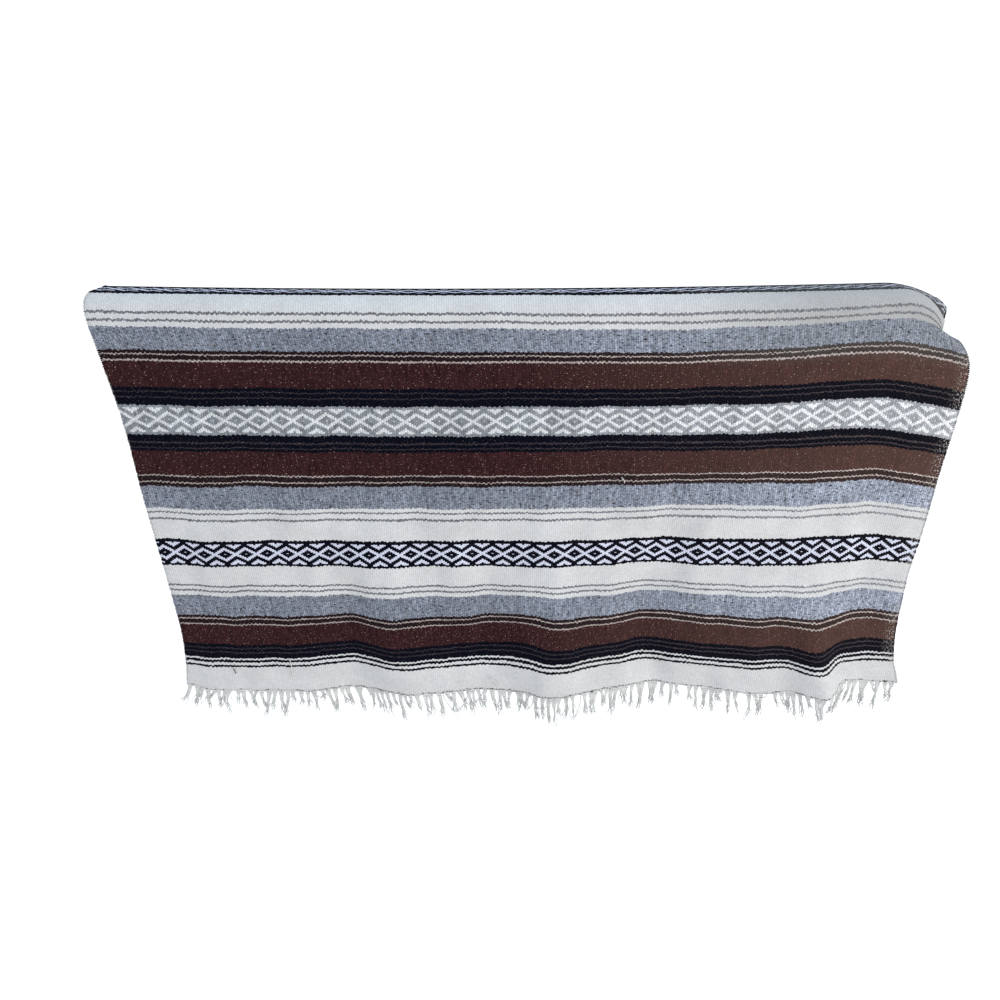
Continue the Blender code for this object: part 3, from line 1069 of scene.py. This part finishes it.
class SERAPE_OT_fringes(bpy.types.Operator):
    """Tie the warp ends into loose uneven tassels"""

    bl_idname = "serape.fringes"
    bl_label = "Fringes"

    # Bare stretches of a hem, and how far the tassels lean along it. Places in these tables are
    # counted from the left, as each panel is faced.
    BARE = ((0.600, 0.607), (0.690, 0.700), (0.880, 0.892), (0.985, 1.000), (1.030, 1.045))
    Lean = namedtuple("Lean", "place aside")
    LEANS = (Lean(0.0, -0.022), Lean(0.03, -0.012), Lean(0.10, -0.004), Lean(0.17, -0.008),
             Lean(0.21, 0.002), Lean(0.40, 0.006), Lean(0.70, 0.001), Lean(1.00, 0.004),
             Lean(1.10, 0.008), Lean(1.16, -0.006), Lean(WEB_WIDTH, 0.006))
    # Loose ends that hang in a loop from one spot of the hem to another
    Swag = namedtuple("Swag", "start end drop")
    SWAGS = (Swag(0.222, 0.250, 0.017), Swag(0.455, 0.503, 0.046), Swag(0.482, 0.530, 0.036),
             Swag(0.592, 0.620, 0.040), Swag(0.612, 0.648, 0.028), Swag(0.676, 0.704, 0.056),
             Swag(1.012, 1.034, 0.012), Swag(1.150, 1.178, 0.030))
    SPACING = (0.68, 1.32)         # least and most, as shares of the pitch
    CAUGHT = 0.32                  # share of tassels whose tips catch on the next one
    SHORT = 0.12                   # share that are short, and how short
    SHORTENED = 0.6
    DROOP = 1.3                    # how late a tassel gives way to its lean
    STRAY = 0.0022                 # how far a tassel or one of its yarns strays sideways
    YARNS = (6, 7, 8, 9)
    HAIRS = 3

    def execute(self, context):
        settings = context.scene.serape.fringe
        colours = context.scene.serape.colours
        material = yarn_material("fringe yarn", colours.fringe, spun(), 0.0052, 0.42)
        for name, side, node in (("fringe_tassels_front", 1, "fringe_front"),
                                 ("fringe_tassels_back", -1, "fringe_back")):
            chance = random.Random(settings.seed * side)
            yarns = YarnMesh()
            self.add_tassels(yarns, settings, chance, side)
            for swag in self.SWAGS:
                start, end = swag.start, swag.end
                if side < 0:
                    start, end = WEB_WIDTH - end, WEB_WIDTH - start
                self.add_swag(yarns, settings, chance, side, start, end, swag.drop)
            piece = yarns.finish(name, material)
            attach(piece, "root")
            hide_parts(node)
        return {"FINISHED"}

    def add_tassels(self, yarns, settings, chance, side):
        """Walk along the hem and hang a tassel every pitch or so, some with their tips caught."""
        place = 0.004
        caught = 0.0
        while place < WEB_WIDTH - 0.003:
            seen = place if side > 0 else WEB_WIDTH - place
            if not any(start < seen < end for start, end in self.BARE):
                aside = between_rows(self.LEANS, seen)[0] * side
                if caught:
                    aside, caught = aside - caught, 0.0
                elif chance.random() < self.CAUGHT:
                    caught = chance.uniform(0.004, 0.007)
                    aside += caught
                aside += chance.gauss(0.0, self.STRAY)
                reach = chance.uniform(settings.shortest, settings.longest)
                if chance.random() < self.SHORT:
                    reach *= self.SHORTENED
                self.add_tassel(yarns, settings, chance, side, place, aside, reach)
            place += settings.pitch * chance.uniform(*self.SPACING)

    def add_tassel(self, yarns, settings, chance, side, place, aside, reach):
        """Hang one tassel: a few yarns that leave the hem apart and wind round each other."""
        count = chance.choice(self.YARNS)
        width = settings.pitch * chance.uniform(0.72, 0.95)
        turns = chance.uniform(0.6, 1.6) * chance.choice((-1, 1))
        flare = chance.uniform(0.0010, 0.0032)
        bend = chance.gauss(0.0, 0.0020)
        steps = 11
        for index in range(count):
            stray = chance.gauss(0.0, self.STRAY)
            phase = math.tau * index / count + chance.uniform(-0.3, 0.3)
            root = place + width * ((index + 0.5) / count - 0.5)
            root = min(max(root, 0.0008), WEB_WIDTH - 0.0008)
            own = reach * chance.uniform(0.68, 1.0)
            hem = hem_run(root) - 0.004
            path, radii = [], []
            for share in evenly(0.0, 1.0, steps):
                gather = ease(share * 1.7)
                wind = 0.0009 * gather + flare * ease((share - 0.55) / 0.45)
                angle = phase + math.tau * turns * share
                here = root + (place - root) * gather * 0.72 + aside * share ** self.DROOP
                here += stray * share * share
                here += bend * math.sin(math.pi * share) + wind * math.cos(angle)
                point = drape(here, side * (hem + own * share))
                point.y += wind * math.sin(angle) - side * 0.0006 * (1 - gather)
                path.append(point)
                radii.append(settings.yarn * (1.05 - 0.55 * share ** 3))
            yarns.tube(path, radii, 5)
        for _ in range(self.HAIRS):
            self.add_hair(yarns, chance, side, place, aside, reach)
        knot = [drape(place, side * (hem_run(place) + shift * MM)) for shift in (-2.5, 0.0, 2.5)]
        yarns.tube(knot, [0.0009, 0.0017, 0.0010], 6)

    @staticmethod
    def add_swag(yarns, settings, chance, side, start, end, drop):
        """Hang one loose loop of yarn between two spots of the hem."""
        for strand in range(2):
            path = []
            slack = drop * (1 - 0.12 * strand)
            for share in evenly(0.0, 1.0, 16):
                here = start + (end - start) * share + 0.0012 * math.sin(9 * share + strand)
                fall = slack * math.sin(math.pi * share) ** 0.8
                point = drape(here, side * (hem_run(here) - 0.003 + fall))
                point.y -= side * (0.0012 + 0.0012 * strand)
                path.append(point)
            yarns.tube(path, [settings.yarn * chance.uniform(0.6, 0.85)] * len(path), 6)

    def add_hair(self, yarns, chance, side, place, aside, reach):
        """Add one fine stray fibre that stands off a tassel."""
        begin = chance.uniform(0.05, 0.5)
        sway = chance.gauss(0.0, 0.005)
        own = chance.uniform(0.3, 0.55)
        path = []
        for share in evenly(0.0, 1.0, 6):
            level = begin + own * share
            here = place + aside * level ** self.DROOP + sway * share ** 1.5
            here = min(max(here, -0.004), WEB_WIDTH + 0.004)
            point = drape(here, side * (hem_run(place) + reach * level))
            point.y -= side * 0.0015 * share
            path.append(point)
        yarns.tube(path, [0.00028] * 6 + [0.00012], 4)


class SERAPE_OT_hem_stitches(bpy.types.Operator):
    """Run the dark overcast yarn along both hems"""

    bl_idname = "serape.hem_stitches"
    bl_label = "Hem stitches"

    # How much of the dark yarn shows at places along a hem, and where it is knotted. Places in
    # these tables are counted from the left, as each panel is faced.
    Shown = namedtuple("Shown", "place share")
    SHOWN = (Shown(0.00, 0.25), Shown(0.20, 0.40), Shown(0.36, 0.95), Shown(0.45, 0.60),
             Shown(0.55, 1.00), Shown(0.75, 1.00), Shown(0.86, 1.00), Shown(0.92, 0.45),
             Shown(1.05, 0.30), Shown(1.15, 0.60), Shown(WEB_WIDTH, 0.50))
    SPACING = (0.0035, 0.0062)     # from one stitch to the next
    MARGIN = 0.006                 # left bare at each end of the hem
    Knot = namedtuple("Knot", "place size")
    KNOTS = (Knot(0.7235, 0.0030), Knot(1.2500, 0.0028), Knot(0.345, 0.0018), Knot(1.163, 0.0020))

    def execute(self, context):
        colours = context.scene.serape.colours
        material = yarn_material("hem yarn", colours.stitch, spun(), 0.003, 0.5)
        for name, side in (("hem_stitches_front", 1), ("hem_stitches_back", -1)):
            chance = random.Random(31 * side)
            yarns = YarnMesh()
            place = self.MARGIN
            while place < WEB_WIDTH - self.MARGIN:
                seen = place if side > 0 else WEB_WIDTH - place
                if chance.random() < between_rows(self.SHOWN, seen)[0]:
                    self.add_stitch(yarns, chance, side, place)
                place += chance.uniform(*self.SPACING)
            for knot in self.KNOTS:
                where = knot.place if side > 0 else WEB_WIDTH - knot.place
                self.add_knot(yarns, side, where, knot.size)
            piece = yarns.finish(name, material)
            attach(piece, "root")
        return {"FINISHED"}

    @staticmethod
    def on_face(side, place, run):
        """Return a spot just proud of the web's outer face."""
        point = drape(place, side * run)
        point.y -= side * 0.0014
        return point

    def add_stitch(self, yarns, chance, side, place):
        length = chance.uniform(0.0018, 0.0042)
        tilt = chance.uniform(-0.0012, 0.0012)
        base = hem_run(place) - chance.uniform(0.0018, 0.0052)
        path = [self.on_face(side, place + length * (share - 0.5), base + tilt * share)
                for share in evenly(0.0, 1.0, 3)]
        thick = chance.uniform(0.00050, 0.00095)
        yarns.tube(path, [thick * 0.5, thick, thick, thick * 0.5], 5)

    def add_knot(self, yarns, side, place, size):
        base = hem_run(place) - 0.003
        path = []
        for share in evenly(0.0, 1.0, 14):
            angle = math.tau * 1.75 * share
            swell = size * 0.5 * math.sin(math.pi * share) ** 0.5
            point = self.on_face(side, place + swell * math.cos(angle), base + size * (share - 0.5))
            point.y -= side * swell * (0.5 + 0.5 * math.sin(angle))
            path.append(point)
        yarns.tube(path, [0.0007] * len(path), 5)


class SERAPE_OT_loose_ends(bpy.types.Operator):
    """Leave a few cut yarn ends on the face of the web"""

    bl_idname = "serape.loose_ends"
    bl_label = "Loose ends"

    End = namedtuple("End", "place run length aside curl")
    PALE = (End(0.187, 0.668, 0.042, 0.002, 0.0020), End(0.541, 0.712, 0.024, 0.014, 0.0040),
            End(0.905, 0.560, 0.009, -0.004, 0.0020), End(0.765, 0.318, 0.010, 0.005, 0.0020),
            End(0.420, -0.300, 0.016, 0.006, 0.0030))
    DARK = (End(0.086, 0.690, 0.012, 0.004, 0.0010), End(0.300, 0.140, 0.008, 0.006, 0.0015),
            End(0.880, -0.640, 0.022, -0.008, 0.0040))

    def execute(self, context):
        colours = context.scene.serape.colours
        for tone, ends, colour in (("pale", self.PALE, colours.fringe),
                                   ("dark", self.DARK, colours.stitch)):
            material = yarn_material(f"loose {tone} yarn", colour, spun(), 0.003, 0.6)
            yarns = YarnMesh()
            for end in ends:
                self.add_end(yarns, end)
            piece = yarns.finish(f"loose_ends_{tone}", material)
            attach(piece, "root")
        return {"FINISHED"}

    @staticmethod
    def add_end(yarns, end):
        side = 1 if end.run > 0 else -1
        path = []
        for share in evenly(0.0, 1.0, 8):
            place = end.place + end.aside * share + end.curl * math.sin(math.pi * share)
            point = drape(place, end.run + side * end.length * share)
            point.y -= side * (0.0024 + 0.0016 * math.sin(math.pi * share))
            path.append(point)
        yarns.tube(path, [0.0007] * 8 + [0.0004], 5)


class SERAPE_OT_rail(bpy.types.Operator):
    """Give the rail its pine"""

    bl_idname = "serape.rail"
    bl_label = "Rail finish"

    def execute(self, context):
        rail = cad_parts["rail"]
        material = pine_material(context.scene.serape.colours, grain_group())
        rail.data.materials.clear()
        rail.data.materials.append(material)
        return {"FINISHED"}


class SERAPE_OT_stage(bpy.types.Operator):
    """Set up the paper floor, the soft lights and the camera"""

    bl_idname = "serape.stage"
    bl_label = "Stage"

    def execute(self, context):
        settings = context.scene.serape.stage
        self.add_floor(settings)
        self.add_lights(context, settings)
        self.add_camera(context, settings)
        context.scene.view_settings.view_transform = "Standard"
        return {"FINISHED"}

    @staticmethod
    def add_floor(settings):
        """Lay a wide sheet of pale paper."""
        material, wire, shader = new_material("pale paper")
        tooth = wire.noise(wire.source("ShaderNodeNewGeometry", "Position"), 6.0, 3.0)
        dim = tuple(part * 0.985 for part in settings.floor)
        wire.feed(shader["Base Color"], wire.mix(tooth, dim, tuple(settings.floor)))
        shader["Roughness"].default_value = 0.9
        shader["Emission Color"].default_value = (1.0, 1.0, 1.0, 1.0)
        shader["Emission Strength"].default_value = settings.glow
        reach = 14.0
        corners = [(x * reach, y * reach, -settings.floor_drop)
                   for x, y in ((-1, -1), (1, -1), (1, 1), (-1, 1))]
        maps = {"yarn": [(0, 0), (1, 0), (1, 1), (0, 1)]}
        mesh_object("paper_floor", corners, [(0, 1, 2, 3)], maps, material)

    @staticmethod
    def add_lights(context, settings):
        """Light the room evenly, with a warmer soft light from the right and a cool one above."""
        world = bpy.data.worlds.new("studio")
        world.use_nodes = True
        even = world.node_tree.nodes["Background"].inputs
        even["Color"].default_value = (0.985, 0.99, 1.0, 1.0)
        even["Strength"].default_value = settings.sky
        context.scene.world = world
        softboxes = (
            ("soft_right", settings.key, (1.0, 0.955, 0.90), (2.6, -1.7, 0.9), 1.8),
            ("soft_top", settings.top, (0.0, 0.50, 1.0), (-0.3, -0.6, 2.6), 2.4),
        )
        for name, power, colour, spot, size in softboxes:
            light = bpy.data.lights.new(name, "AREA")
            light.energy = power
            light.color = colour
            light.size = size
            lamp = bpy.data.objects.new(name, light)
            lamp.location = spot
            lamp.rotation_euler = (-Vector(spot)).to_track_quat("-Z", "Y").to_euler()
            context.scene.collection.objects.link(lamp)

    @staticmethod
    def add_camera(context, settings):
        """Stand the camera in front, looking down on the rail."""
        lens = bpy.data.cameras.new("camera")
        lens.sensor_width = 36.0
        lens.lens = settings.lens
        camera = bpy.data.objects.new("camera", lens)
        camera.location = settings.camera
        camera.rotation_euler = (math.pi / 2 - settings.tilt, 0.0, 0.0)
        context.scene.collection.objects.link(camera)
        context.scene.camera = camera


class SERAPE_OT_declare(bpy.types.Operator):
    """Does nothing: no cut is stated here"""

    bl_idname = "serape.declare"
    bl_label = "State the cut"

    def execute(self, context):
        return {"FINISHED"}


OPERATORS = (SERAPE_OT_web, SERAPE_OT_selvages, SERAPE_OT_fringes, SERAPE_OT_hem_stitches,
             SERAPE_OT_loose_ends, SERAPE_OT_rail, SERAPE_OT_declare, SERAPE_OT_stage)


class SERAPE_PT_sidebar(bpy.types.Panel):
    """Lists the settings and the steps."""

    bl_label = "Serape"
    bl_idname = "SERAPE_PT_sidebar"
    bl_space_type = "VIEW_3D"
    bl_region_type = "UI"
    bl_category = "Serape"

    def draw(self, context):
        settings = context.scene.serape
        for part in (settings.web, settings.fringe, settings.colours, settings.stage):
            box = self.layout.box()
            for key in part.bl_rna.properties.keys():
                if key not in ("rna_type", "name"):
                    box.prop(part, key)
        for operator in OPERATORS:
            self.layout.operator(operator.bl_idname)


CLASSES = (WebSettings, FringeSettings, ColourSettings, StageSettings, SerapeSettings,
           *OPERATORS, SERAPE_PT_sidebar)


def register():
    for listed in CLASSES:
        bpy.utils.register_class(listed)
    bpy.types.Scene.serape = PointerProperty(type=SerapeSettings)


def unregister():
    del bpy.types.Scene.serape
    for listed in reversed(CLASSES):
        bpy.utils.unregister_class(listed)


def main():
    register()
    bpy.ops.serape.web()
    bpy.ops.serape.selvages()
    bpy.ops.serape.fringes()
    bpy.ops.serape.hem_stitches()
    bpy.ops.serape.loose_ends()
    bpy.ops.serape.rail()
    bpy.ops.serape.declare()
    bpy.ops.serape.stage()
    bpy.context.view_layer.update()


if __name__ == "__main__":
    main()
